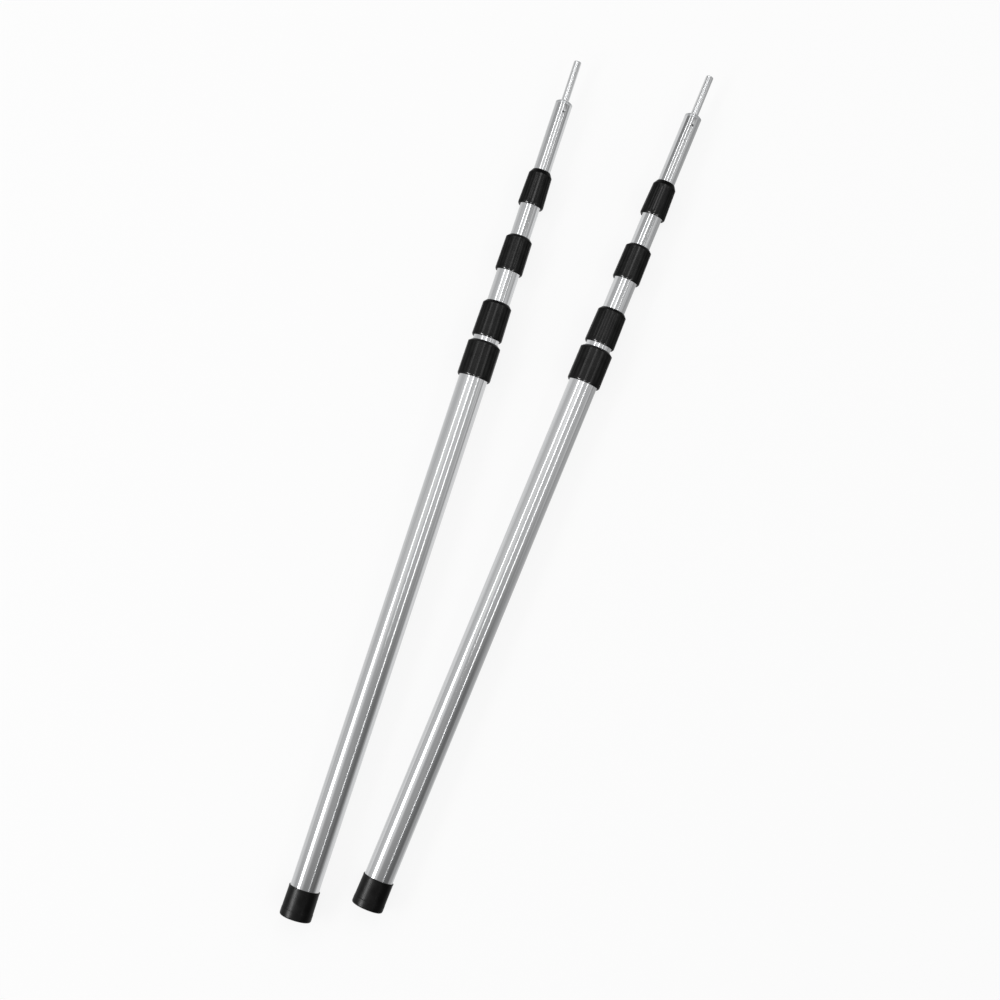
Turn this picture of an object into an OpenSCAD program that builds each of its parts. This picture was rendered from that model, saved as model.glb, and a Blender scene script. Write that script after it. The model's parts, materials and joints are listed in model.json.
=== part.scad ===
// A pair of telescopic tarp poles, lying side by side on the ground.
//
// Each pole is five aluminium tubes that slide one inside the next. A twist lock on the top
// end of tubes 1 to 4 clamps the tube inside it: a lock body stands on the tube, a nut screws
// over the body, and the nut's cone closes a split ring around the inner tube. The lower end
// of tubes 2 to 5 holds a guide plug. Tube 1 stands in a rubber cap, and tube 5 ends in a
// shouldered plug with a spike, held by a cross pin.
//
// One pole is built standing along +Z with its foot at the origin. lay_pole() lays it down
// along +Y, so that it rests on its foot cap and on the nut of its lowest twist lock.

/* [Tubes] */
// Outer diameter of the lowest tube
base_tube_d = 30; // [29:0.5:34]
// Step in outer diameter from each tube to the next
tube_step = 3; // [2.8:0.1:3.2]
// Wall of every tube
tube_wall = 1; // [0.9:0.05:1.1]
// Length of the lowest tube
base_tube_len = 587.4; // [550:0.2:700]
// Length of each inner tube
inner_tube_len = 575; // [500:1:590]
// Length of each inner tube that stays in the one below at full stretch
kept_overlap = 80; // [50:1:120]
// Length of tubes 2 to 5 that stands out above each twist lock
shown_len = [4.2, 33.8, 34.2, 74.6]; // [2.5:0.1:300]

/* [Foot cap] */
// Length of the rubber cap
cap_len = 31.2; // [26:0.2:45]
// Thickness of its floor, under the tube
cap_floor = 3; // [2:0.5:5]
// Rubber outside the tube at the sole
cap_wall = 1.5; // [1.3:0.1:2.5]
// Height of the thicker sole
sole_h = 8; // [5:0.5:12]

/* [Twist locks] */
// Length of each nut
nut_len = 39.4; // [39:0.2:44]
// How far the base of each nut stands out from the tube below it
nut_proud = [2.65, 2.65, 2.65, 3.15]; // [2.6:0.05:3.4]
// How much each nut narrows from its base to its shoulder
nut_taper = [0.2, 0.7, 0.5, 1.1]; // [0:0.1:1.1]
// Height of the sloping top of each nut
nut_slope = [2.6, 3.1, 2.9, 4.7]; // [2.4:0.1:5.6]
// Grip flutes around each nut
flute_count = 16; // [8:1:18]
// Depth of a flute
flute_depth = 0.3; // [0.15:0.05:0.4]

/* [Tip] */
// Height of the plug's shoulder above the tube
shoulder_h = 4.2; // [3.5:0.1:6]
// Diameter of the spike
spike_d = 8; // [6:0.5:9]
// Length of the spike that stands out
spike_len = 45.4; // [30:0.2:60]
// Diameter of the cross pin
pin_d = 2.5; // [2:0.1:3]
// Distance of the cross pin below the end of tube 5
pin_drop = 8.9; // [6:0.1:14]

/* [Layout] */
// Distance between the two feet
feet_apart = 63.8; // [60:0.2:120]
// How far the right pole lies ahead of the left one
stagger = 34.4; // [0:0.2:80]
// Turn of each pole away from its neighbour
spread = 2.22; // [0:0.02:6]

/* [Hidden] */
SIDES = ["left", "right"];
PIECES = [
    "foot_cap",
    for (i = [1:5]) str("tube_", i),
    for (i = [1:4]) str("lock_body_", i),
    for (i = [1:4]) str("clamp_ring_", i),
    for (i = [1:4]) str("lock_nut_", i),
    for (i = [2:5]) str("guide_plug_", i),
    "tip_plug",
    "tip_spike",
    "tip_pin"
];

$fn = 96;
arc_steps = 6; // straight steps in a rounded corner

// Play between tubes, shared out between what slides
slide_gap = tube_step / 2 - tube_wall;
guide_gap = 0.3 * slide_gap; // lock body around the inner tube, plug in the outer tube
bead_rise = 0.7 * slide_gap; // stop bead on an inner tube
bead_len = 3;
press_gap = 0.02; // a plug in its own tube, the spike's shank in its plug

// Twist lock heights, from the nut's base
body_z = 1.5; // lower end of the lock body
tube_in_nut = 16; // top end of the outer tube
body_top = 28;
ring_z = 28.2; // lower end of the clamp ring
ring_top = 35.6;
cone_z = 28.6; // the nut's inner cone
cone_top = 35.9;
body_wall = 1; // lock body outside the tube
thread_gap = 0.1;
cone_gap = 0.1;
ring_gap = 0.05; // clamp ring around the inner tube
ring_slit = 1.5;
mouth_gap = 0.3; // nut's mouth around the inner tube
mouth_lip = 0.4; // flat rim around the mouth
nut_foot_in = 1.1; // the nut's base is drawn in by this much
nut_foot_rise = 1;
nut_foot_round = 3.1;
nut_widest_z = 2.4; // upper end of that rounding
nut_round = 1; // rounding of the nut's shoulder
flute_share = 0.18; // radius of a flute, as a share of the nut's
flute_margin = 4.5; // plain band under the flutes
flute_end = 2; // plain band over them

sole_fillet = 2;
cap_lip = 0.15; // rolled rim around the cap's mouth
cap_lip_h = 1.4;

plug_head = 18; // guide plug below its tube
plug_spigot = 18; // guide plug inside its tube
plug_cup_wall = 2;

tip_band = 2.4; // straight band at the foot of the shoulder
tip_rim = 1.3; // flat ring around the spike on the shoulder
tip_spigot = 25;
shank_len = 20; // thinner end of the spike, inside the plug
shank_step = 0.5; // how much thinner it is, in radius
neck_len = 0.6; // undercut of the spike, on the plug's face
neck_step = 0.2;
spike_chamfer = 0.6;
pin_bore_r = 0.65;
pin_slit = 0.5;
pin_turn = 15; // the cross pin leans this far off the top of the lying pole

function tube_r(i) = (base_tube_d - (i - 1) * tube_step) / 2;
function bore_r(i) = tube_r(i) - tube_wall;

// Heights on the standing pole
function nut_z(i) = i == 1
    ? cap_floor + base_tube_len - tube_in_nut
    : nut_z(i - 1) + nut_len + shown_len[i - 2];
function tube_top(i) = i == 5
    ? nut_z(4) + nut_len + shown_len[3]
    : nut_z(i) + tube_in_nut;
function tube_bottom(i) = i == 1
    ? cap_floor
    : tube_top(i) - inner_tube_len;
plug_face = tube_top(5) + shoulder_h;
pole_len = plug_face + spike_len;

shank_r = spike_d / 2 - shank_step;

// Radii of a nut
function nut_base_r(i) = tube_r(i) + nut_proud[i - 1];
function nut_shoulder_r(i) = nut_base_r(i) - nut_taper[i - 1];
function nut_shoulder_z(i) = nut_len - nut_slope[i - 1];
function nut_skirt_r(i) = tube_r(i) + body_wall + thread_gap;
function nut_mouth_r(i) = tube_r(i + 1) + mouth_gap;
function grip_r(i, z) = nut_base_r(i)
    - nut_taper[i - 1] * (z - nut_widest_z) / (nut_shoulder_z(i) - nut_widest_z);
function cone_r(i, z) = nut_skirt_r(i)
    - (nut_skirt_r(i) - tube_r(i + 1) - 1.3) * (z - cone_z) / (cone_top - cone_z);

// A lying pole touches the ground at the edge of its sole and at the base of its lowest nut
cap_r = tube_r(1) + cap_wall;
rest_span = nut_z(1) + nut_widest_z - sole_fillet;
pitch = atan((nut_base_r(1) - cap_r) / rest_span);
foot_h = cap_r * cos(pitch) - sole_fillet * sin(pitch);

// The origin lies under the middle of the box around both poles
along = cos(pitch) * cos(spread); // reach along Y of each unit of pole
edge = sqrt(1 - along * along); // reach along Y of each unit of a round end's radius
spike_end_r = spike_d / 2 - spike_chamfer;
sole_end_r = cap_r - sole_fillet;
left_y = (edge * (sole_end_r - spike_end_r) - stagger - pole_len * along) / 2;

function unit(v) = v / norm(v);

// Points of an arc of radius r that rounds the corner at p between a and b
function round_corner(a, p, b, r) =
    let (
        u = unit(a - p),
        v = unit(b - p),
        half = acos(u * v) / 2,
        centre = p + unit(u + v) * r / sin(half),
        from = p + u * r / tan(half) - centre,
        to = p + v * r / tan(half) - centre,
        start = atan2(from.y, from.x),
        turn = atan2(to.y, to.x) - start,
        sweep = turn > 180 ? turn - 360 : turn < -180 ? turn + 360 : turn
    )
    [
        for (k = [0:arc_steps])
            let (angle = start + sweep * k / arc_steps)
            centre + r * [cos(angle), sin(angle)]
    ];

// An outline from [x, y] or [x, y, corner radius] points
function rounded(points) =
    let (n = len(points), flat = [for (p = points) [p.x, p.y]])
    [
        for (i = [0:n - 1])
            each (len(points[i]) == 3
                ? round_corner(flat[(i + n - 1) % n], flat[i], flat[(i + 1) % n], points[i][2])
                : [flat[i]])
    ];

module turned(points) {
    rotate_extrude() polygon(rounded(points));
}

module across(d, turn) {
    rotate([0, 0, turn]) rotate([90, 0, 0]) cylinder(h = 4 * base_tube_d, d = d, center = true);
}

// Stands its children at the height of the cross pin
module at_pin() {
    translate([0, 0, tube_top(5) - pin_drop]) children();
}

module tube(i) {
    r = tube_r(i);
    bead_z = tube_bottom(i) + kept_overlap;
    color([0.78, 0.79, 0.80]) difference() {
        union() {
            translate([0, 0, tube_bottom(i)]) cylinder(h = tube_top(i) - tube_bottom(i), r = r);
            if (i > 1) {
                turned([
                    [r - tube_wall / 2, bead_z - bead_len / 2],
                    [r, bead_z - bead_len / 2],
                    [r + bead_rise, bead_z - bead_len / 6],
                    [r + bead_rise, bead_z + bead_len / 6],
                    [r, bead_z + bead_len / 2],
                    [r - tube_wall / 2, bead_z + bead_len / 2]
                ]);
            }
        }
        translate([0, 0, tube_bottom(i) - 1]) cylinder(h = tube_top(i) - tube_bottom(i) + 2, r = bore_r(i));
        if (i == 5) at_pin() across(pin_d + 2 * press_gap, pin_turn);
    }
}

module foot_cap() {
    top_r = cap_r - 0.5;
    step_r = cap_r - 0.2;
    color([0.10, 0.10, 0.11]) turned([
        [0, 0],
        [cap_r, 0, sole_fillet],
        [cap_r, sole_h],
        [step_r, sole_h + 0.6],
        [top_r, cap_len - cap_lip_h - 0.3],
        [top_r + cap_lip, cap_len - cap_lip_h],
        [top_r + cap_lip, cap_len, 0.4],
        [tube_r(1), cap_len],
        [tube_r(1), cap_floor],
        [0, cap_floor]
    ]);
}

module lock_body(i) {
    outer_r = tube_r(i) + body_wall;
    guide_r = tube_r(i + 1) + guide_gap;
    color([0.16, 0.16, 0.17]) translate([0, 0, nut_z(i)]) turned([
        [tube_r(i), body_z],
        [outer_r - 0.4, body_z],
        [outer_r, body_z + 0.8],
        [outer_r, body_top - 0.6],
        [outer_r - 0.6, body_top],
        [guide_r + 0.6, body_top],
        [guide_r, body_top - 0.6],
        [guide_r, tube_in_nut],
        [tube_r(i), tube_in_nut]
    ]);
}

module clamp_ring(i) {
    inner_r = tube_r(i + 1) + ring_gap;
    color([0.85, 0.85, 0.82]) translate([0, 0, nut_z(i)]) difference() {
        turned([
            [inner_r, ring_z],
            [cone_r(i, cone_z) - cone_gap - 0.3, ring_z],
            [cone_r(i, cone_z + 0.4) - cone_gap, cone_z + 0.4],
            [cone_r(i, ring_top) - cone_gap, ring_top],
            [inner_r, ring_top]
        ]);
        rotate([0, 0, 90]) translate([0, -ring_slit / 2, 0]) cube([base_tube_d, ring_slit, nut_len]);
    }
}

module flute(i) {
    low = flute_margin;
    high = nut_shoulder_z(i) - flute_end;
    lean = atan((grip_r(i, low) - grip_r(i, high)) / (high - low));
    r = flute_share * nut_base_r(i);
    translate([grip_r(i, low) - flute_depth + r, 0, low])
        rotate([0, -lean, 0]) cylinder(h = high - low, r = r);
}

module lock_nut(i) {
    skirt_r = nut_skirt_r(i);
    mouth_r = nut_mouth_r(i);
    color([0.07, 0.07, 0.08]) translate([0, 0, nut_z(i)]) difference() {
        turned([
            [skirt_r + 0.3, 0],
            [nut_base_r(i) - nut_foot_in, 0],
            [nut_base_r(i), nut_foot_rise, nut_foot_round],
            [nut_shoulder_r(i), nut_shoulder_z(i), nut_round],
            [mouth_r + mouth_lip, nut_len, 0.3],
            [mouth_r, nut_len],
            [mouth_r, cone_top],
            [cone_r(i, cone_top), cone_top],
            [skirt_r, cone_z],
            [skirt_r, 0.6]
        ]);
        for (k = [1:flute_count]) rotate([0, 0, (k - 0.5) * 360 / flute_count - 90]) flute(i);
    }
}

module guide_plug(i) {
    head_r = bore_r(i - 1) - guide_gap;
    spigot_r = bore_r(i) - press_gap;
    cup_r = bore_r(i) - plug_cup_wall;
    color([0.20, 0.20, 0.21]) translate([0, 0, tube_bottom(i)]) turned([
        [cup_r, -plug_head],
        [head_r - 1, -plug_head],
        [head_r, 1 - plug_head],
        [head_r, 0],
        [spigot_r, 0],
        [spigot_r, plug_spigot - 0.8],
        [spigot_r - 0.8, plug_spigot],
        [0, plug_spigot],
        [0, plug_spigot - plug_cup_wall],
        [cup_r, plug_spigot - plug_cup_wall]
    ]);
}

module tip_plug() {
    end_z = tube_top(5);
    hole_r = shank_r + press_gap;
    color([0.80, 0.81, 0.82]) difference() {
        turned([
            [hole_r, end_z - tip_spigot],
            [bore_r(5) - press_gap - 0.8, end_z - tip_spigot],
            [bore_r(5) - press_gap, end_z - tip_spigot + 0.8],
            [bore_r(5) - press_gap, end_z],
            [tube_r(5), end_z],
            [tube_r(5), end_z + tip_band, 0.9],
            [spike_d / 2 + tip_rim, plug_face, 0.6],
            [hole_r, plug_face]
        ]);
        at_pin() across(pin_d + 2 * press_gap, pin_turn);
    }
}

module tip_spike() {
    foot_z = plug_face - shank_len;
    neck_r = spike_d / 2 - neck_step;
    color([0.72, 0.73, 0.75]) difference() {
        turned([
            [0, foot_z],
            [shank_r - spike_chamfer, foot_z],
            [shank_r, foot_z + spike_chamfer],
            [shank_r, plug_face],
            [neck_r, plug_face],
            [neck_r, plug_face + neck_len],
            [spike_d / 2, plug_face + neck_len],
            [spike_d / 2, pole_len - spike_chamfer],
            [spike_end_r, pole_len],
            [0, pole_len]
        ]);
        at_pin() across(pin_d + 2 * press_gap, pin_turn);
    }
}

module tip_pin() {
    reach = 2 * tube_r(5) - 0.3;
    color([0.45, 0.45, 0.47]) at_pin() rotate([0, 0, pin_turn]) rotate([90, 0, 0]) difference() {
        cylinder(h = reach, d = pin_d, center = true);
        cylinder(h = reach + 1, r = pin_bore_r, center = true);
        translate([0, -pin_slit / 2, -reach]) cube([pin_d, pin_slit, 2 * reach]);
    }
}

// Lays a standing pole down along +Y, the left one turned towards -X and the right towards +X
module lay_pole(side) {
    hand = side == "left" ? -1 : 1;
    ahead = side == "left" ? 0 : stagger;
    translate([hand * feet_apart / 2, left_y + ahead, foot_h])
        rotate([0, 0, -hand * spread])
            rotate([pitch - 90, 0, 0])
                children();
}

for (side = SIDES) lay_pole(side) {
    foot_cap();
    for (i = [1:5]) {
        tube(i);
    }
    for (i = [1:4]) {
        lock_body(i);
        clamp_ring(i);
        lock_nut(i);
    }
    for (i = [2:5]) {
        guide_plug(i);
    }
    tip_plug();
    tip_spike();
    tip_pin();
}
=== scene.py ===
"""Looks of the pair of telescopic tarp poles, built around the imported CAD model.

Each pole is modelled standing along +Z with its foot at the origin, in millimetres, and then laid
where the CAD pole lies. Heights and radii come from the CAD nodes; fillets, grooves and other
small forms are named values below.
"""
import json
import math

import bmesh
import bpy
from mathutils import Matrix, Vector


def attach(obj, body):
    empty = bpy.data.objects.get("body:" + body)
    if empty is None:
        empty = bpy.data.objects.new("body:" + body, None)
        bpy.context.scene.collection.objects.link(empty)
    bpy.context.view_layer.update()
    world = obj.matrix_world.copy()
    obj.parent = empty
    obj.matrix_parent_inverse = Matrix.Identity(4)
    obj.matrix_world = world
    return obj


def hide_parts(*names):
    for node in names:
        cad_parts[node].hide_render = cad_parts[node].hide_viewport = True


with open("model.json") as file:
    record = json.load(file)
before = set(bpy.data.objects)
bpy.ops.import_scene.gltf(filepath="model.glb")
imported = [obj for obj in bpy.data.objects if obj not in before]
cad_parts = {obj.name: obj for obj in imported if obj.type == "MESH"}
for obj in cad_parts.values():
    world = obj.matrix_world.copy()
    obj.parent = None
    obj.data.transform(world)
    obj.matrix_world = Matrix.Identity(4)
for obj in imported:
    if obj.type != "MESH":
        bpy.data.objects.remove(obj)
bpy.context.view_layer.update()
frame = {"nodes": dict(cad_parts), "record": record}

MM = 0.001
SIDES = ("left", "right")
SECTIONS = (1, 2, 3, 4, 5)
LOCKS = (1, 2, 3, 4)

# Camera: a standard lens looking down on the poles, turned so that they lean to the right
LENS = 55.8
SENSOR = 36.0
CAMERA_DISTANCE = 1.5925
CAMERA_ELEVATION = math.radians(85.12)
CAMERA_ROLL = math.radians(20.33)
CAMERA_AIM = (0.0153, -0.0150)  # where the view meets the plane of the poles, in x and y

# Tubes, in millimetres
TUBE_SIDES = 144
TUBE_END_ROUND = 0.25
BEAD_LENGTH = 3.0
BEAD_FROM_BOTTOM = 80.0
BEAD_STEPS = 8

# Lock nuts, in millimetres
NUT_TAPER = (0.2, 0.7, 0.5, 1.1)   # how much each one narrows up to its shoulder
NUT_SLOPE = (2.6, 3.1, 2.9, 4.7)   # height of the sloping top
NUT_FOOT_IN = 1.1                  # how far the base is drawn in
NUT_FOOT_RISE = 1.0
NUT_FOOT_ROUND = 3.1
NUT_GRIP_LOW = 2.6                 # height where the straight grip starts
NUT_GRIP_HIGH = 1.0                # and where it ends, below the shoulder
NUT_GRIP_RINGS = 34
NUT_SHOULDER_ROUND = 1.0
NUT_LIP = 0.4
NUT_LIP_ROUND = 0.3
NUT_MOUTH_LENGTH = 3.5             # the straight mouth above the clamping cone
NUT_CONE_STEP = 0.8                # how far the cone's top stands back from the mouth
NUT_SKIRT_LENGTH = 28.6            # from the base to the cone
NUT_BORE_CHAMFER = (0.3, 0.6)
FLUTES = 16
FLUTE_STEPS = 14                   # faces across a flute and its ridge
FLUTE_DEPTH = 0.22
FLUTE_HALF_WIDTH = 0.27            # as a share of the distance between two flutes
FLUTE_LOW = 5.0                    # height of the middle of a flute's lower end
FLUTE_HIGH = 3.2                   # and of its upper end, below the shoulder
FLATNESS = 0.5                     # of the ridges: 0 is round, 1 is flat
FLAT_HIGH = 0.5                    # height where their flatter faces end, below the shoulder
FLAT_FADE = 1.5                    # height over which those faces run out
GRIP_DEPTH = 2.2                   # only the skin of a nut is carved, down to this depth
NUT_TURN = (0.0, 2.6, 0.0, 4.0)    # degrees that each one's ridges are turned at rest

# Foot cap, in millimetres
CAP_FLOOR = 3.0
SOLE_HEIGHT = 8.0
SOLE_ROUND = 2.0
SOLE_DISH = 0.4                    # depth of the dish under the sole
SOLE_RING = 4.4                    # width of the flat ring round the dish
DISH_SLOPE = 0.6                   # width of the slope from that ring into the dish
SLEEVE_STEP = (0.2, 0.6)           # how far in and up the sleeve starts, from the sole's top edge
SLEEVE_IN = 0.5                    # how far the sleeve is drawn in under its rim
RIM_IN = 0.35
RIM_HEIGHT = 1.4
RIM_SLOPE = 0.3                    # height of the slope from the sleeve out to the rim
RIM_ROUND = 0.4
RIM_FINE_ROUND = 0.2
CAP_EDGE_ROUND = 0.3

# Plug and spike, in millimetres
SHANK_CHAMFER = 0.8
SEAM_DEPTH = 0.4                   # groove between the plug's shoulder and the tube
SEAM_HEIGHT = 0.25
SEAM_TOP = 0.5
BAND_HEIGHT = 2.4                  # straight band of the shoulder
BAND_ROUND = 0.9
PLUG_FACE_ROUND = 0.6
UNDERCUT = 0.2                     # groove round the foot of the spike
UNDERCUT_HEIGHT = 0.5
SPIKE_CHAMFER = 0.6
SPIKE_ROUND = 0.25

# Cross pin, in millimetres
PIN_TURN = 15.0                    # degrees that the pin leans from the top of the tube
PIN_PLAY = 0.02                    # between the pin and its hole, on each side
DRILL_LENGTH = 60.0

SHARP_EDGE = math.radians(32)      # steeper edges between faces look sharp

# Surroundings, in metres
FLOOR_SIZE = 8.0                   # half of the floor's side
FLOOR_COLOUR = 0.9
# For gloss and glass, this emission share is not plain white but the floor's painted shade greys below
FLOOR_SEEN_WHITE = 0.85            # share of plain white in what the camera and gloss see
WORLD_LIGHT = 0.62
TENT_RADIUS = 2.6
TENT_LENGTH = 8.0
TENT_STEPS = 48
TENT_END_LIGHT = 0.3               # light of the tent's far ends, as a share of its middle
TENT_FOOT_FADE = (-1.2, -2.2)      # y where the light starts to fall, and where it has fallen
TENT_TIP_FADE = (1.4, 2.4)
LAMP_DISTANCE = 2.2

# The tent's greys from its left edge, 0, to its right edge, 1: over the feet and over the tips
FOOT_Y = -0.5
FOOT_GREYS = (
    (0.0, 0.60), (0.05, 0.66), (0.12, 0.80), (0.24, 0.80), (0.30, 0.86), (0.37, 0.62), (0.44, 0.40),
    (0.76, 0.38), (0.87, 0.26), (0.95, 0.19), (0.98, 0.16), (1.0, 0.22),
)
TIP_Y = 0.6
TIP_GREYS = (
    (0.0, 0.60), (0.02, 0.60), (0.10, 0.72), (0.31, 0.82), (0.42, 0.70), (0.63, 0.64), (0.76, 0.64),
    (0.93, 0.50), (0.975, 0.48), (1.0, 0.62),
)

# Painted shade in the floor's reflection: the greys that gloss and glass see on the floor, from its
# left, 0, to its right, 1, pale in the band under the poles, darker to either side and darkest to the
# right
FLOOR_REACH = 0.4
FLOOR_PAINTED_SHADE = ((0.0, 0.50), (0.35, 0.65), (0.42, 0.85), (0.56, 0.85), (0.61, 0.40), (1.0, 0.25))


# ---------------------------------------------------------------- the frame

mounts = {mount["name"]: mount for mount in frame["record"]["mounts"]}


def pole_matrix(side):
    """Lays the standing pole down: +Z runs from the sole to the spike, -Y faces up."""
    foot = Vector(mounts[f"{side}_sole"]["pos_m"])
    along = Vector(mounts[f"{side}_spike"]["axis"]).normalized()
    across = along.cross(Vector((0, 0, 1))).normalized()
    down = along.cross(across)
    turn = Matrix((across, down, along)).transposed()
    return Matrix.Translation(foot) @ turn.to_4x4()


POLE = {side: pole_matrix(side) for side in SIDES}


def standing_points(side, piece):
    """(radius, height) of every vertex of a CAD node on the standing pole, in millimetres."""
    to_pole = POLE[side].inverted()
    points = [to_pole @ v.co for v in frame["nodes"][f"{side}_{piece}"].data.vertices]
    return [(math.hypot(p.x, p.y) / MM, p.z / MM) for p in points]


def span(points):
    """Lowest and highest height."""
    heights = [z for r, z in points]
    return min(heights), max(heights)


def radius_near(points, height, pick=max, reach=0.6):
    """Largest (or smallest, with pick=min) radius close to a height."""
    return pick(r for r, z in points if abs(z - height) < reach)


# ---------------------------------------------------------------- mesh making

def arc_corner(before, corner, after, radius, steps):
    """Points of an arc that rounds a corner of an outline."""
    corner = Vector(corner[:2])
    to_before = (Vector(before[:2]) - corner).normalized()
    to_after = (Vector(after[:2]) - corner).normalized()
    half = to_before.angle(to_after) / 2
    centre = corner + (to_before + to_after).normalized() * radius / math.sin(half)
    start = corner + to_before * radius / math.tan(half) - centre
    sweep = start.angle_signed(corner + to_after * radius / math.tan(half) - centre)
    turned = [Matrix.Rotation(-sweep * k / steps, 2) @ start for k in range(steps + 1)]
    return [tuple(centre + p) for p in turned]


def rounded(outline, steps=5):
    """An outline from (radius, height) or (radius, height, corner radius) points."""
    points = []
    for i, point in enumerate(outline):
        if len(point) == 3:
            after = outline[(i + 1) % len(outline)]
            points += arc_corner(outline[i - 1], point, after, point[2], steps)
        else:
            points.append(point)
    return points


def lathe(name, outline, sides, carve=None):
    """Turns a closed (radius, height) outline round the pole's axis. carve(radius, height, angle)
    gives a changed radius, for forms that aren't round."""
    vertices, faces, rings = [], [], []
    for radius, height in outline:
        if radius < 1e-6:
            rings.append([len(vertices)] * sides)
            vertices.append((0, 0, height * MM))
            continue
        rings.append(list(range(len(vertices), len(vertices) + sides)))
        for k in range(sides):
            angle = 2 * math.pi * k / sides
            r = carve(radius, height, angle) if carve else radius
            vertices.append((r * math.cos(angle) * MM, r * math.sin(angle) * MM, height * MM))
    for low, high in zip(rings, rings[1:] + rings[:1]):
        if low[0] == low[-1] and high[0] == high[-1]:
            continue
        for k in range(sides):
            n = (k + 1) % sides
            face = list(dict.fromkeys((low[k], low[n], high[n], high[k])))
            faces.append(face)
    mesh = bpy.data.meshes.new(name)
    mesh.from_pydata(vertices, [], faces)
    mesh.validate()
    mesh.shade_smooth()
    mesh.set_sharp_from_angle(angle=SHARP_EDGE)
    piece = bpy.data.objects.new(name, mesh)
    bpy.context.scene.collection.objects.link(piece)
    return piece


def drill(piece, pin_points):
    """Cuts the cross pin's hole through a piece of a standing pole."""
    low, high = span(pin_points)
    radius = ((high - low) / 2 + PIN_PLAY) * MM
    cutter = bmesh.new()
    turn = Matrix.Rotation(math.radians(PIN_TURN), 4, "Z") @ Matrix.Rotation(math.pi / 2, 4, "X")
    bmesh.ops.create_cone(
        cutter, cap_ends=True, segments=48, radius1=radius, radius2=radius, depth=DRILL_LENGTH * MM,
        matrix=Matrix.Translation((0, 0, (low + high) / 2 * MM)) @ turn,
    )
    mesh = bpy.data.meshes.new("cutter")
    cutter.to_mesh(mesh)
    cutter.free()
    tool = bpy.data.objects.new("cutter", mesh)
    bpy.context.scene.collection.objects.link(tool)
    cut = piece.modifiers.new("hole", "BOOLEAN")
    cut.operation = "DIFFERENCE"
    cut.object = tool
    graph = bpy.context.evaluated_depsgraph_get()
    drilled = bpy.data.meshes.new_from_object(piece.evaluated_get(graph))
    piece.modifiers.clear()
    piece.data = drilled
    drilled.name = piece.name
    drilled.shade_smooth()
    drilled.set_sharp_from_angle(angle=SHARP_EDGE)
    bpy.data.objects.remove(tool)


# The black parts get softboxes of their own, as black needs far more light than bright metal
lit_apart = {slot: bpy.data.collections.new(slot) for slot in ("nut_plastic", "cap_rubber")}


def place(piece, side, body, node, slot, material):
    """Lays a piece on its pole, in the place of the CAD node that it stands for."""
    piece.matrix_world = POLE[side]
    piece.data.materials.append(material)
    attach(piece, f"{side}_{body}")
    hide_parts(f"{side}_{node}")
    # The poles are lit as if each lay alone: neither is mirrored in the other
    piece.visible_glossy = False
    if slot in lit_apart:
        lit_apart[slot].objects.link(piece)


def section_body(section):
    return "base" if section == 1 else f"section_{section}"


# ---------------------------------------------------------------- materials

class Shader:
    """A material with a Principled shader, whose nodes are added one call at a time."""

    def __init__(self, name, **sockets):
        self.material = bpy.data.materials.new(name)
        self.material.use_nodes = True
        self.tree = self.material.node_tree
        self.main = self.tree.nodes["Principled BSDF"]
        self.fill(self.main, sockets)

    def fill(self, node, sockets):
        for key, value in sockets.items():
            socket = node.inputs[key.replace("_", " ") if isinstance(key, str) else key]
            if isinstance(value, bpy.types.NodeSocket):
                self.tree.links.new(value, socket)
            else:
                socket.default_value = value

    def add(self, kind, settings=None, output=0, **sockets):
        """Adds a node and returns one of its outputs."""
        node = self.tree.nodes.new(kind)
        for key, value in (settings or {}).items():
            setattr(node, key, value)
        self.fill(node, sockets)
        return node.outputs[output]

    def where(self, stretch=(1, 1, 1)):
        """The place on the standing pole, stretched before a texture reads it."""
        place_on_pole = self.add("ShaderNodeTexCoord", output="Object")
        return self.add("ShaderNodeMapping", Vector=place_on_pole, Scale=stretch)

    def noise(self, scale, detail=3.0, rough=0.5, stretch=(1, 1, 1)):
        return self.add(
            "ShaderNodeTexNoise", Vector=self.where(stretch), Scale=scale, Detail=detail, Roughness=rough
        )

    def spread(self, value, low, high, from_low=0.3, from_high=0.7):
        """A texture's value carried over to another range."""
        node = self.tree.nodes.new("ShaderNodeMapRange")
        self.tree.links.new(value, node.inputs["Value"])
        node.inputs["From Min"].default_value = from_low
        node.inputs["From Max"].default_value = from_high
        node.inputs["To Min"].default_value = low
        node.inputs["To Max"].default_value = high
        return node.outputs["Result"]

    def blend(self, factor, low, high):
        """A colour between two, by a factor."""
        node = self.tree.nodes.new("ShaderNodeMix")
        node.data_type = "RGBA"
        self.tree.links.new(factor, node.inputs["Factor"])
        for socket, colour in ((node.inputs[6], low), (node.inputs[7], high)):
            if isinstance(colour, bpy.types.NodeSocket):
                self.tree.links.new(colour, socket)
            else:
                socket.default_value = (*colour, 1)
        return node.outputs[2]

    def sum(self, a, b, share=1.0):
        """a + b * share"""
        node = self.tree.nodes.new("ShaderNodeMath")
        node.operation = "MULTIPLY_ADD"
        self.tree.links.new(b, node.inputs[0])
        node.inputs[1].default_value = share
        self.tree.links.new(a, node.inputs[2])
        return node.outputs[0]

    def finish(self, colour, roughness, height, strength, distance):
        normal = self.add("ShaderNodeBump", Height=height, Strength=strength, Distance=distance)
        self.fill(self.main, {"Base Color": colour, "Roughness": roughness, "Normal": normal})
        return self.material


def drawn_aluminium():
    """Bright aluminium tube with the fine lengthwise lines that the drawing die leaves."""
    s = Shader("drawn_aluminium", Metallic=1.0)
    fine = s.noise(2600, detail=2, stretch=(1, 1, 0.004))
    wide = s.noise(700, detail=3, stretch=(1, 1, 0.006))
    cloud = s.noise(14, detail=3)
    colour = s.blend(s.spread(wide, 0, 1), (0.62, 0.63, 0.64), (0.78, 0.785, 0.79))
    roughness = s.sum(s.spread(fine, 0.11, 0.15), s.spread(cloud, -0.5, 0.5), 0.02)
    return s.finish(colour, roughness, fine, 0.02, 0.00001)


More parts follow.
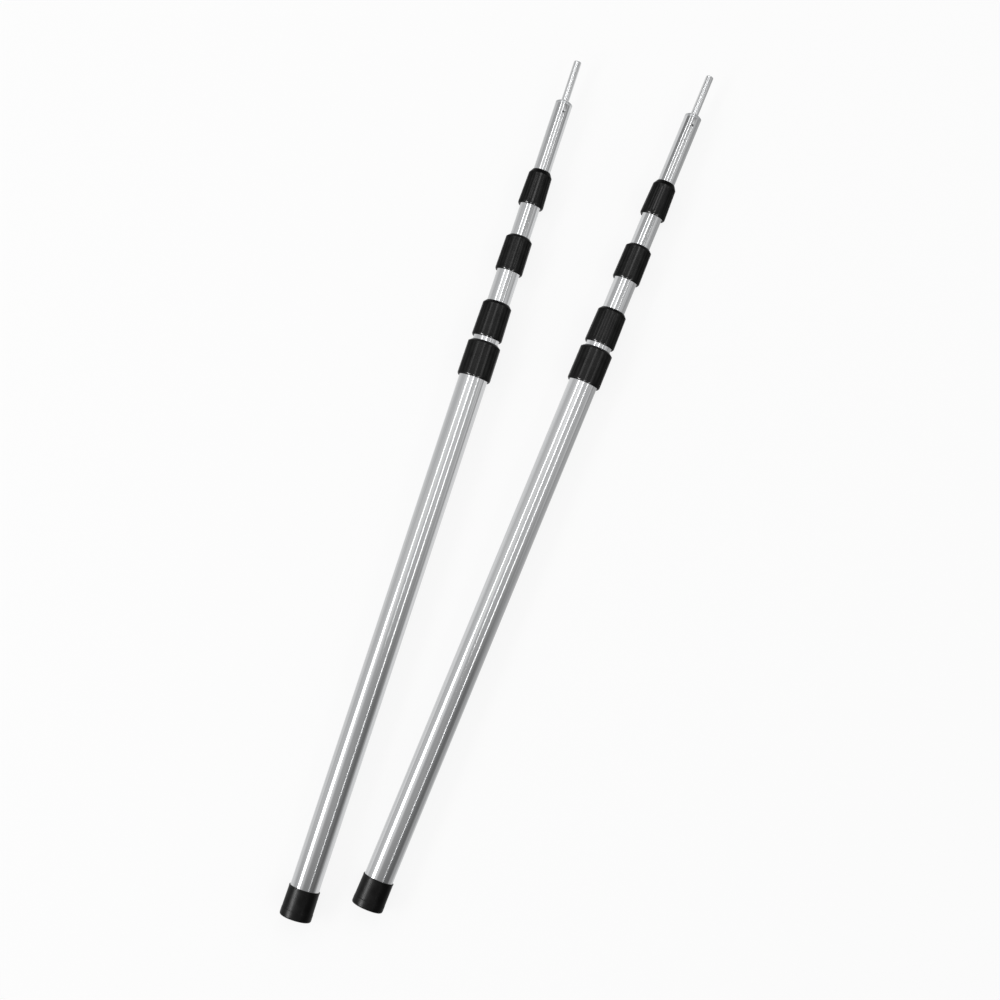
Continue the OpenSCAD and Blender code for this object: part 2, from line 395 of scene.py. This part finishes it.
def turned_aluminium():
    """The plug's shoulder, with rings left by the lathe tool."""
    s = Shader("turned_aluminium", Metallic=1.0)
    rings = s.noise(5200, detail=2, stretch=(0.02, 0.02, 1))
    cloud = s.noise(260, detail=3)
    colour = s.blend(s.spread(rings, 0, 1), (0.54, 0.55, 0.56), (0.66, 0.67, 0.68))
    roughness = s.sum(s.spread(rings, 0.14, 0.24), s.spread(cloud, -0.5, 0.5), 0.04)
    return s.finish(colour, roughness, rings, 0.08, 0.00001)


def spike_metal():
    """Bright drawn bar with lengthwise lines."""
    s = Shader("spike_metal", Metallic=1.0)
    fine = s.noise(3400, detail=2, stretch=(1, 1, 0.004))
    cloud = s.noise(60, detail=3)
    colour = s.blend(s.spread(fine, 0, 1), (0.66, 0.67, 0.68), (0.76, 0.765, 0.77))
    roughness = s.sum(s.spread(fine, 0.16, 0.20), s.spread(cloud, -0.5, 0.5), 0.02)
    return s.finish(colour, roughness, fine, 0.02, 0.00001)


def pin_steel():
    """Dark spring steel."""
    s = Shader("pin_steel", Metallic=1.0)
    grain = s.noise(3000, detail=3)
    colour = s.blend(s.spread(grain, 0, 1), (0.07, 0.07, 0.075), (0.14, 0.14, 0.145))
    return s.finish(colour, s.spread(grain, 0.32, 0.48), grain, 0.2, 0.00003)


def moulded(name, low, high, roughness, grain_scale, bump, gloss_level=0.5, edge_gloss=0.5):
    """A moulded plastic or rubber: a fine grain, clouds in its gloss and colour, and edges rubbed
    paler. A matt skin loses gloss where it is seen from the side."""
    s = Shader(name, IOR=1.48, Specular_IOR_Level=gloss_level)
    facing = s.add("ShaderNodeLayerWeight", output="Facing", Blend=0.5)
    s.fill(s.main, {"Specular IOR Level": s.spread(facing, gloss_level, edge_gloss, 0.04, 0.30)})
    grain = s.noise(grain_scale, detail=4, rough=0.6)
    cloud = s.noise(120, detail=4)
    rubbed = s.spread(s.add("ShaderNodeNewGeometry", output="Pointiness"), 0, 1, 0.53, 0.60)
    colour = s.blend(s.spread(cloud, 0, 1), low, high)
    colour = s.blend(rubbed, colour, [5 * part for part in high])
    gloss = s.sum(s.spread(cloud, *roughness), s.spread(grain, -0.5, 0.5), 0.06)
    return s.finish(colour, gloss, grain, bump, 0.00003)


MATERIALS = {
    "drawn_aluminium": drawn_aluminium(),
    "turned_aluminium": turned_aluminium(),
    "spike_metal": spike_metal(),
    "pin_steel": pin_steel(),
    "nut_plastic": moulded(
        "nut_plastic", (0.002,) * 3, (0.004,) * 3, roughness=(0.16, 0.22), grain_scale=2400, bump=0.05,
        gloss_level=0.22, edge_gloss=0.03,
    ),
    "cap_rubber": moulded(
        "cap_rubber", (0.002,) * 3, (0.004,) * 3, roughness=(0.32, 0.38), grain_scale=1800, bump=0.10,
        gloss_level=0.14, edge_gloss=0.06,
    ),
    "body_nylon": moulded(
        "body_nylon", (0.02,) * 3, (0.03,) * 3, roughness=(0.40, 0.50), grain_scale=2000, bump=0.2,
    ),
    "ring_acetal": moulded(
        "ring_acetal", (0.74, 0.74, 0.70), (0.80, 0.80, 0.77), roughness=(0.30, 0.42), grain_scale=1500,
        bump=0.1,
    ),
    "guide_nylon": moulded(
        "guide_nylon", (0.035,) * 3, (0.05,) * 3, roughness=(0.40, 0.50), grain_scale=2000, bump=0.2,
    ),
}


# ---------------------------------------------------------------- the pieces of a pole

def build_tube(side, section):
    """A drawn tube with eased ends. Tubes 2 to 5 have the rolled bead that stops them."""
    points = standing_points(side, f"tube_{section}")
    low, high = span(points)
    outer = radius_near(points, high)
    bore = radius_near(points, high, pick=min)
    bead = max(r for r, z in points)
    ease = TUBE_END_ROUND
    outline = [(bore, high, ease), (bore, low, ease), (outer, low, ease)]
    if bead > outer + 0.05:
        middle = low + BEAD_FROM_BOTTOM
        for k in range(BEAD_STEPS + 1):
            share = k / BEAD_STEPS
            rise = (bead - outer) * math.sin(math.pi * share) ** 2
            outline.append((outer + rise, middle + BEAD_LENGTH * (share - 0.5)))
    outline.append((outer, high, ease))
    tube = lathe(f"{side}_tube_{section}_drawn", rounded(outline, 3), TUBE_SIDES)
    if section == 5:
        drill(tube, standing_points(side, "tip_pin"))
    slot = "drawn_aluminium"
    place(tube, side, section_body(section), f"tube_{section}", slot, MATERIALS[slot])


def grip_carver(lowest, base, shoulder_z, turn):
    """Radius of a nut's grip: flattish ridges between long shallow flutes with round ends."""
    pitch = 2 * math.pi / FLUTES
    flat = (0.5 - FLUTE_HALF_WIDTH) * pitch
    low = lowest + FLUTE_LOW
    high = shoulder_z - FLUTE_HIGH
    half_width = FLUTE_HALF_WIDTH * pitch * base

    def carve(radius, height, angle):
        if radius < base - GRIP_DEPTH:
            return radius
        from_flute = abs((angle - turn - math.pi / 2) % pitch - pitch / 2)
        from_ridge = pitch / 2 - from_flute
        beyond = max(low - height, 0, height - high)
        flatness = max(0, 1 - max(low - height, height - shoulder_z + FLAT_HIGH) / FLAT_FADE)
        faced = radius * math.cos(flat) / math.cos(min(from_ridge, flat))
        radius += FLATNESS * min(flatness, 1) * (faced - radius)
        away = math.hypot(from_flute * radius, beyond) / half_width
        if away >= 1:
            return radius
        return radius - FLUTE_DEPTH * (1 - away * away) ** 1.5

    return carve


def build_nut(side, lock):
    """A lock nut: a fluted grip between a rounded base and a sloping top, with the skirt's bore
    and the clamping cone inside."""
    points = standing_points(side, f"lock_nut_{lock}")
    low, high = span(points)
    base = max(r for r, z in points)
    mouth = radius_near(points, high, pick=min)
    skirt = radius_near(points, low + 4, pick=min, reach=4)
    cone_top = high - NUT_MOUTH_LENGTH
    cone_low = low + NUT_SKIRT_LENGTH
    shoulder = base - NUT_TAPER[lock - 1]
    shoulder_z = high - NUT_SLOPE[lock - 1]
    grip_low = low + NUT_GRIP_LOW
    grip_high = shoulder_z - NUT_GRIP_HIGH
    chamfer_in, chamfer_up = NUT_BORE_CHAMFER
    outline = [
        (skirt + chamfer_in, low),
        (base - NUT_FOOT_IN, low),
        (base, low + NUT_FOOT_RISE, NUT_FOOT_ROUND),
    ]
    for k in range(NUT_GRIP_RINGS + 1):
        share = k / NUT_GRIP_RINGS
        outline.append((base - (base - shoulder) * share, grip_low + (grip_high - grip_low) * share))
    outline += [
        (shoulder, shoulder_z, NUT_SHOULDER_ROUND),
        (mouth + NUT_LIP, high, NUT_LIP_ROUND),
        (mouth, high),
        (mouth, cone_top),
        (mouth + NUT_CONE_STEP, cone_top),
        (skirt, cone_low),
        (skirt, low + chamfer_up),
    ]
    outline = rounded(outline, 6)[::-1]
    carve = grip_carver(low, base, shoulder_z, math.radians(NUT_TURN[lock - 1]))
    nut = lathe(f"{side}_lock_nut_{lock}_grip", outline, FLUTES * FLUTE_STEPS, carve)
    place(nut, side, f"nut_{lock}", f"lock_nut_{lock}", "nut_plastic", MATERIALS["nut_plastic"])


def build_cap(side):
    """The rubber foot cap: a thick sole with a rounded edge, a slightly drawn-in sleeve and a
    rolled rim."""
    points = standing_points(side, "foot_cap")
    low, high = span(points)
    sole = max(r for r, z in points)
    bore = radius_near(points, high, pick=min)
    sole_top = low + SOLE_HEIGHT
    rim_low = high - RIM_HEIGHT
    step_in, step_up = SLEEVE_STEP
    outline = [
        (0, low + SOLE_DISH),
        (sole - SOLE_RING - DISH_SLOPE, low + SOLE_DISH),
        (sole - SOLE_RING, low),
        (sole, low, SOLE_ROUND),
        (sole, sole_top, CAP_EDGE_ROUND),
        (sole - step_in, sole_top + step_up, CAP_EDGE_ROUND),
        (sole - SLEEVE_IN, rim_low - RIM_SLOPE, CAP_EDGE_ROUND),
        (sole - RIM_IN, rim_low, RIM_FINE_ROUND),
        (sole - RIM_IN, high, RIM_ROUND),
        (bore, high, RIM_FINE_ROUND),
        (bore, low + CAP_FLOOR),
        (0, low + CAP_FLOOR),
    ]
    cap = lathe(f"{side}_foot_cap_rubber", rounded(outline, 5)[::-1], 128)
    place(cap, side, "base", "foot_cap", "cap_rubber", MATERIALS["cap_rubber"])


def build_plug(side):
    """The turned plug: a spigot in tube 5 and a rounded shoulder under the spike."""
    tube_top = span(standing_points(side, "tube_5"))[1]
    points = standing_points(side, "tip_plug")
    low, high = span(points)
    outer = max(r for r, z in points)
    bore = min(r for r, z in points)
    rim = radius_near(points, high)
    spigot = radius_near(points, (low + tube_top) / 2, reach=8)
    outline = [
        (bore, low),
        (spigot - SHANK_CHAMFER, low),
        (spigot, low + SHANK_CHAMFER),
        (spigot, tube_top),
        (outer - SEAM_DEPTH, tube_top),
        (outer - SEAM_DEPTH, tube_top + SEAM_HEIGHT),
        (outer, tube_top + SEAM_TOP),
        (outer, tube_top + BAND_HEIGHT, BAND_ROUND),
        (rim, high, PLUG_FACE_ROUND),
        (bore, high),
    ]
    plug = lathe(f"{side}_tip_plug_turned", rounded(outline, 6)[::-1], 128)
    drill(plug, standing_points(side, "tip_pin"))
    place(plug, side, "section_5", "tip_plug", "turned_aluminium", MATERIALS["turned_aluminium"])


def build_spike(side):
    """The spike: a bright bar with a thinner shank in the plug, an undercut on the plug's face and
    small chamfers."""
    face = span(standing_points(side, "tip_plug"))[1]
    points = standing_points(side, "tip_spike")
    low, high = span(points)
    radius = max(r for r, z in points)
    shank = radius_near(points, (low + face) / 2, reach=8)
    outline = [
        (0, low),
        (shank - SPIKE_CHAMFER, low),
        (shank, low + SPIKE_CHAMFER),
        (shank, face),
        (radius - UNDERCUT, face),
        (radius - UNDERCUT, face + UNDERCUT_HEIGHT),
        (radius, face + UNDERCUT_HEIGHT + UNDERCUT),
        (radius, high - SPIKE_CHAMFER, SPIKE_ROUND),
        (radius - SPIKE_CHAMFER, high, SPIKE_ROUND),
        (0, high),
    ]
    spike = lathe(f"{side}_tip_spike_bar", rounded(outline, 4)[::-1], 96)
    drill(spike, standing_points(side, "tip_pin"))
    place(spike, side, "section_5", "tip_spike", "spike_metal", MATERIALS["spike_metal"])


for side in SIDES:
    build_cap(side)
    for section in SECTIONS:
        build_tube(side, section)
    for lock in LOCKS:
        build_nut(side, lock)
    build_plug(side)
    build_spike(side)

# The pieces inside the locks, the guide plugs and the cross pins are the CAD nodes themselves
slots = {part["node"]: part["material_slot"] for part in frame["record"]["subparts"]}
for name, node in frame["nodes"].items():
    if not node.hide_render:
        node.data.materials.clear()
        node.data.materials.append(MATERIALS[slots[name]])
        node.visible_glossy = False


# ---------------------------------------------------------------- floor, lights and camera

def grey_ramp(tree, place, greys):
    ramp = tree.nodes.new("ShaderNodeValToRGB")
    tree.links.new(place, ramp.inputs[0])
    elements = ramp.color_ramp.elements
    for element, (at, grey) in zip(elements, (greys[0], greys[-1])):
        element.position = at
        element.color = (grey, grey, grey, 1)
    for at, grey in greys[1:-1]:
        elements.new(at).color = (grey, grey, grey, 1)
    return ramp.outputs[0]


def map_range(tree, value, low, high):
    """A value carried over from low..high to 0..1."""
    node = tree.nodes.new("ShaderNodeMapRange")
    node.inputs["From Min"].default_value = low
    node.inputs["From Max"].default_value = high
    tree.links.new(value, node.inputs["Value"])
    return node.outputs["Result"]


def any_ray(tree, *kinds):
    """1 for a ray of one of these kinds, else 0."""
    path = tree.nodes.new("ShaderNodeLightPath")
    found = path.outputs[kinds[0]]
    for kind in kinds[1:]:
        either = tree.nodes.new("ShaderNodeMath")
        either.operation = "MAXIMUM"
        tree.links.new(found, either.inputs[0])
        tree.links.new(path.outputs[kind], either.inputs[1])
        found = either.outputs[0]
    return found


def pale_surface(name, colour, seen_white):
    """A pale diffuse surface that the camera sees as nearly white. Gloss and glass see painted shade on
    it:
    greys that change across it."""
    material = bpy.data.materials.new(name)
    material.use_nodes = True
    tree = material.node_tree
    tree.nodes.clear()
    diffuse = tree.nodes.new("ShaderNodeBsdfDiffuse")
    diffuse.inputs["Color"].default_value = (colour, colour, colour, 1)
    white = tree.nodes.new("ShaderNodeEmission")
    place_on_floor = tree.nodes.new("ShaderNodeTexCoord")
    split = tree.nodes.new("ShaderNodeSeparateXYZ")
    tree.links.new(place_on_floor.outputs["Object"], split.inputs[0])
    across = map_range(tree, split.outputs["X"], -FLOOR_REACH, FLOOR_REACH)
    level = tree.nodes.new("ShaderNodeMapRange")
    tree.links.new(any_ray(tree, "Is Camera Ray"), level.inputs["Value"])
    # Painted shade: what gloss and glass see of the floor is darkened by a grey ramp across it
    tree.links.new(grey_ramp(tree, across, FLOOR_PAINTED_SHADE), level.inputs["To Min"])
    tree.links.new(level.outputs["Result"], white.inputs["Strength"])
    seen = any_ray(tree, "Is Camera Ray", "Is Glossy Ray", "Is Transmission Ray")
    share = tree.nodes.new("ShaderNodeMath")
    share.operation = "MULTIPLY"
    tree.links.new(seen, share.inputs[0])
    share.inputs[1].default_value = seen_white
    mix = tree.nodes.new("ShaderNodeMixShader")
    tree.links.new(share.outputs[0], mix.inputs[0])
    tree.links.new(diffuse.outputs[0], mix.inputs[1])
    tree.links.new(white.outputs[0], mix.inputs[2])
    output = tree.nodes.new("ShaderNodeOutputMaterial")
    tree.links.new(mix.outputs[0], output.inputs["Surface"])
    return material


def build_floor():
    mesh = bpy.data.meshes.new("floor")
    size = FLOOR_SIZE
    corners = [(-size, -size, 0), (size, -size, 0), (size, size, 0), (-size, size, 0)]
    mesh.from_pydata(corners, [], [(0, 1, 2, 3)])
    mesh.materials.append(pale_surface("floor_white_painted_shade", FLOOR_COLOUR, FLOOR_SEEN_WHITE))
    floor = bpy.data.objects.new("floor", mesh)
    bpy.context.scene.collection.objects.link(floor)


def build_world():
    """A soft even light, which shows as white behind the object."""
    world = bpy.data.worlds.new("studio")
    world.use_nodes = True
    bpy.context.scene.world = world
    tree = world.node_tree
    background = tree.nodes["Background"]
    background.inputs["Color"].default_value = (1, 1, 1, 1)
    seen = any_ray(tree, "Is Camera Ray", "Is Glossy Ray", "Is Transmission Ray")
    strength = tree.nodes.new("ShaderNodeMapRange")
    strength.inputs["To Min"].default_value = WORLD_LIGHT
    strength.inputs["To Max"].default_value = 1.0
    tree.links.new(seen, strength.inputs["Value"])
    tree.links.new(strength.outputs["Result"], background.inputs["Strength"])


def build_tent():
    """A grey studio tent over the poles, like a barrel vault along +Y, darker towards its closed
    ends. Only gloss sees it."""
    vertices, faces = [], []
    for k in range(TENT_STEPS + 1):
        angle = math.pi * k / TENT_STEPS
        x, z = -TENT_RADIUS * math.cos(angle), TENT_RADIUS * math.sin(angle)
        vertices += [(x, -TENT_LENGTH / 2, z), (x, TENT_LENGTH / 2, z)]
    for k in range(TENT_STEPS):
        faces.append((2 * k, 2 * k + 1, 2 * k + 3, 2 * k + 2))
    faces.append(range(0, len(vertices), 2))
    faces.append(range(1, len(vertices), 2))
    mesh = bpy.data.meshes.new("tent")
    mesh.from_pydata(vertices, [], faces)
    material = bpy.data.materials.new("tent_grey")
    material.use_nodes = True
    tree = material.node_tree
    tree.nodes.clear()
    place_in_tent = tree.nodes.new("ShaderNodeTexCoord")
    split = tree.nodes.new("ShaderNodeSeparateXYZ")
    tree.links.new(place_in_tent.outputs["Object"], split.inputs[0])
    across = map_range(tree, split.outputs["X"], -TENT_RADIUS, TENT_RADIUS)
    mix = tree.nodes.new("ShaderNodeMix")
    mix.data_type = "RGBA"
    tree.links.new(map_range(tree, split.outputs["Y"], FOOT_Y, TIP_Y), mix.inputs["Factor"])
    tree.links.new(grey_ramp(tree, across, FOOT_GREYS), mix.inputs[6])
    tree.links.new(grey_ramp(tree, across, TIP_GREYS), mix.inputs[7])
    glow = tree.nodes.new("ShaderNodeEmission")
    tree.links.new(mix.outputs[2], glow.inputs["Color"])
    light = tree.nodes.new("ShaderNodeMath")
    light.operation = "MULTIPLY"
    for socket, (near, far) in zip(light.inputs, (TENT_FOOT_FADE, TENT_TIP_FADE)):
        fade = tree.nodes.new("ShaderNodeMapRange")
        fade.inputs["From Min"].default_value = far
        fade.inputs["From Max"].default_value = near
        fade.inputs["To Min"].default_value = TENT_END_LIGHT
        tree.links.new(split.outputs["Y"], fade.inputs["Value"])
        tree.links.new(fade.outputs["Result"], socket)
    tree.links.new(light.outputs[0], glow.inputs["Strength"])
    output = tree.nodes.new("ShaderNodeOutputMaterial")
    tree.links.new(glow.outputs[0], output.inputs["Surface"])
    mesh.materials.append(material)
    tent = bpy.data.objects.new("tent", mesh)
    bpy.context.scene.collection.objects.link(tent)
    for seen_by in ("camera", "diffuse", "transmission", "volume_scatter", "shadow"):
        setattr(tent, f"visible_{seen_by}", False)


def soft_strip(name, foot_end, tip_end, width, glow, lit_parts=None):
    """A long oval softbox over the poles. Each end is (angle across from straight overhead, y).
    With lit_parts, a collection, it lights only those."""
    ends = []
    for across_deg, y in (foot_end, tip_end):
        across = math.radians(across_deg)
        ends.append(Vector((LAMP_DISTANCE * math.sin(across), y, LAMP_DISTANCE * math.cos(across))))
    middle = (ends[0] + ends[1]) / 2
    length = (ends[1] - ends[0]).length
    along = (ends[1] - ends[0]).normalized()
    away = Vector((middle.x, 0, middle.z))
    away = (away - away.project(along)).normalized()
    lamp = bpy.data.lights.new(name, "AREA")
    lamp.shape = "ELLIPSE"
    lamp.size = width
    lamp.size_y = length
    lamp.energy = glow * math.pi * width * length
    light = bpy.data.objects.new(name, lamp)
    turn = Matrix((along.cross(away), along, away)).transposed()
    light.matrix_world = Matrix.Translation(middle) @ turn.to_4x4()
    light.light_linking.receiver_collection = lit_parts
    bpy.context.scene.collection.objects.link(light)


def build_camera():
    data = bpy.data.cameras.new("camera")
    data.lens = LENS
    data.sensor_width = SENSOR
    tilt = math.pi / 2 - CAMERA_ELEVATION
    back = Vector((0, -math.sin(tilt), math.cos(tilt)))
    level_up = Vector((0, math.cos(tilt), math.sin(tilt)))
    level_right = Vector((1, 0, 0))
    up = level_up * math.cos(CAMERA_ROLL) - level_right * math.sin(CAMERA_ROLL)
    right = level_up * math.sin(CAMERA_ROLL) + level_right * math.cos(CAMERA_ROLL)
    aim = Vector((*CAMERA_AIM, mounts["left_sole"]["pos_m"][2]))
    turn = Matrix((right, up, back)).transposed()
    camera = bpy.data.objects.new("camera", data)
    camera.matrix_world = Matrix.Translation(aim + back * CAMERA_DISTANCE) @ turn.to_4x4()
    bpy.context.scene.collection.objects.link(camera)
    bpy.context.scene.camera = camera


build_floor()
build_world()
build_tent()

# Softboxes for the whole of the poles
soft_strip("softbox_left", (-50, -2.2), (-36, 3.2), 0.10, 2.9)
soft_strip("softbox_foot", (-47, -2.2), (-46, -0.1), 0.75, 2.4)
soft_strip("softbox_foot_right", (38, -3.0), (38.7, -1.0), 0.22, 0.35)
soft_strip("softbox_middle", (0, -0.25), (0, 3.2), 0.12, 3.5)
soft_strip("softbox_right", (39, -1.4), (39, 1.5), 0.10, 2.7)
soft_strip("softbox_tip", (-12, 0.7), (-12, 2.4), 0.9, 0.2)
soft_strip("softbox_tip_left", (-38, 0.7), (-38, 2.4), 0.12, 2.4)
soft_strip("softbox_tip_middle", (0, 0.7), (0, 2.4), 0.13, 4.3)
soft_strip("softbox_tip_right", (64, 0.85), (64, 2.4), 0.7, 0.2)

# Softboxes that only the black parts see
nuts = lit_apart["nut_plastic"]
caps = lit_apart["cap_rubber"]
soft_strip("ridge_light_left", (-45, -0.5), (-45, 0.95), 0.34, 1.5, nuts)
soft_strip("ridge_light_middle", (0, -0.5), (0, 0.95), 0.34, 1.4, nuts)
soft_strip("ridge_light_right", (44, -0.5), (44, 0.9), 0.34, 1.4, nuts)
soft_strip("ridge_light_tip", (2, 0.88), (2, 1.6), 0.6, 3.2, nuts)
soft_strip("base_light_left", (-46, -2.6), (-46, -0.6), 0.4, 70.0, nuts)
soft_strip("base_light_middle", (0, -2.8), (0, -1.0), 0.3, 40.0, nuts)
soft_strip("base_light_right", (39, -2.8), (39, -1.0), 0.3, 40.0, nuts)
soft_strip("cap_light", (-54, -3.0), (-54, -0.2), 0.8, 19.0, caps)

build_camera()
bpy.context.scene.view_settings.view_transform = "Standard"
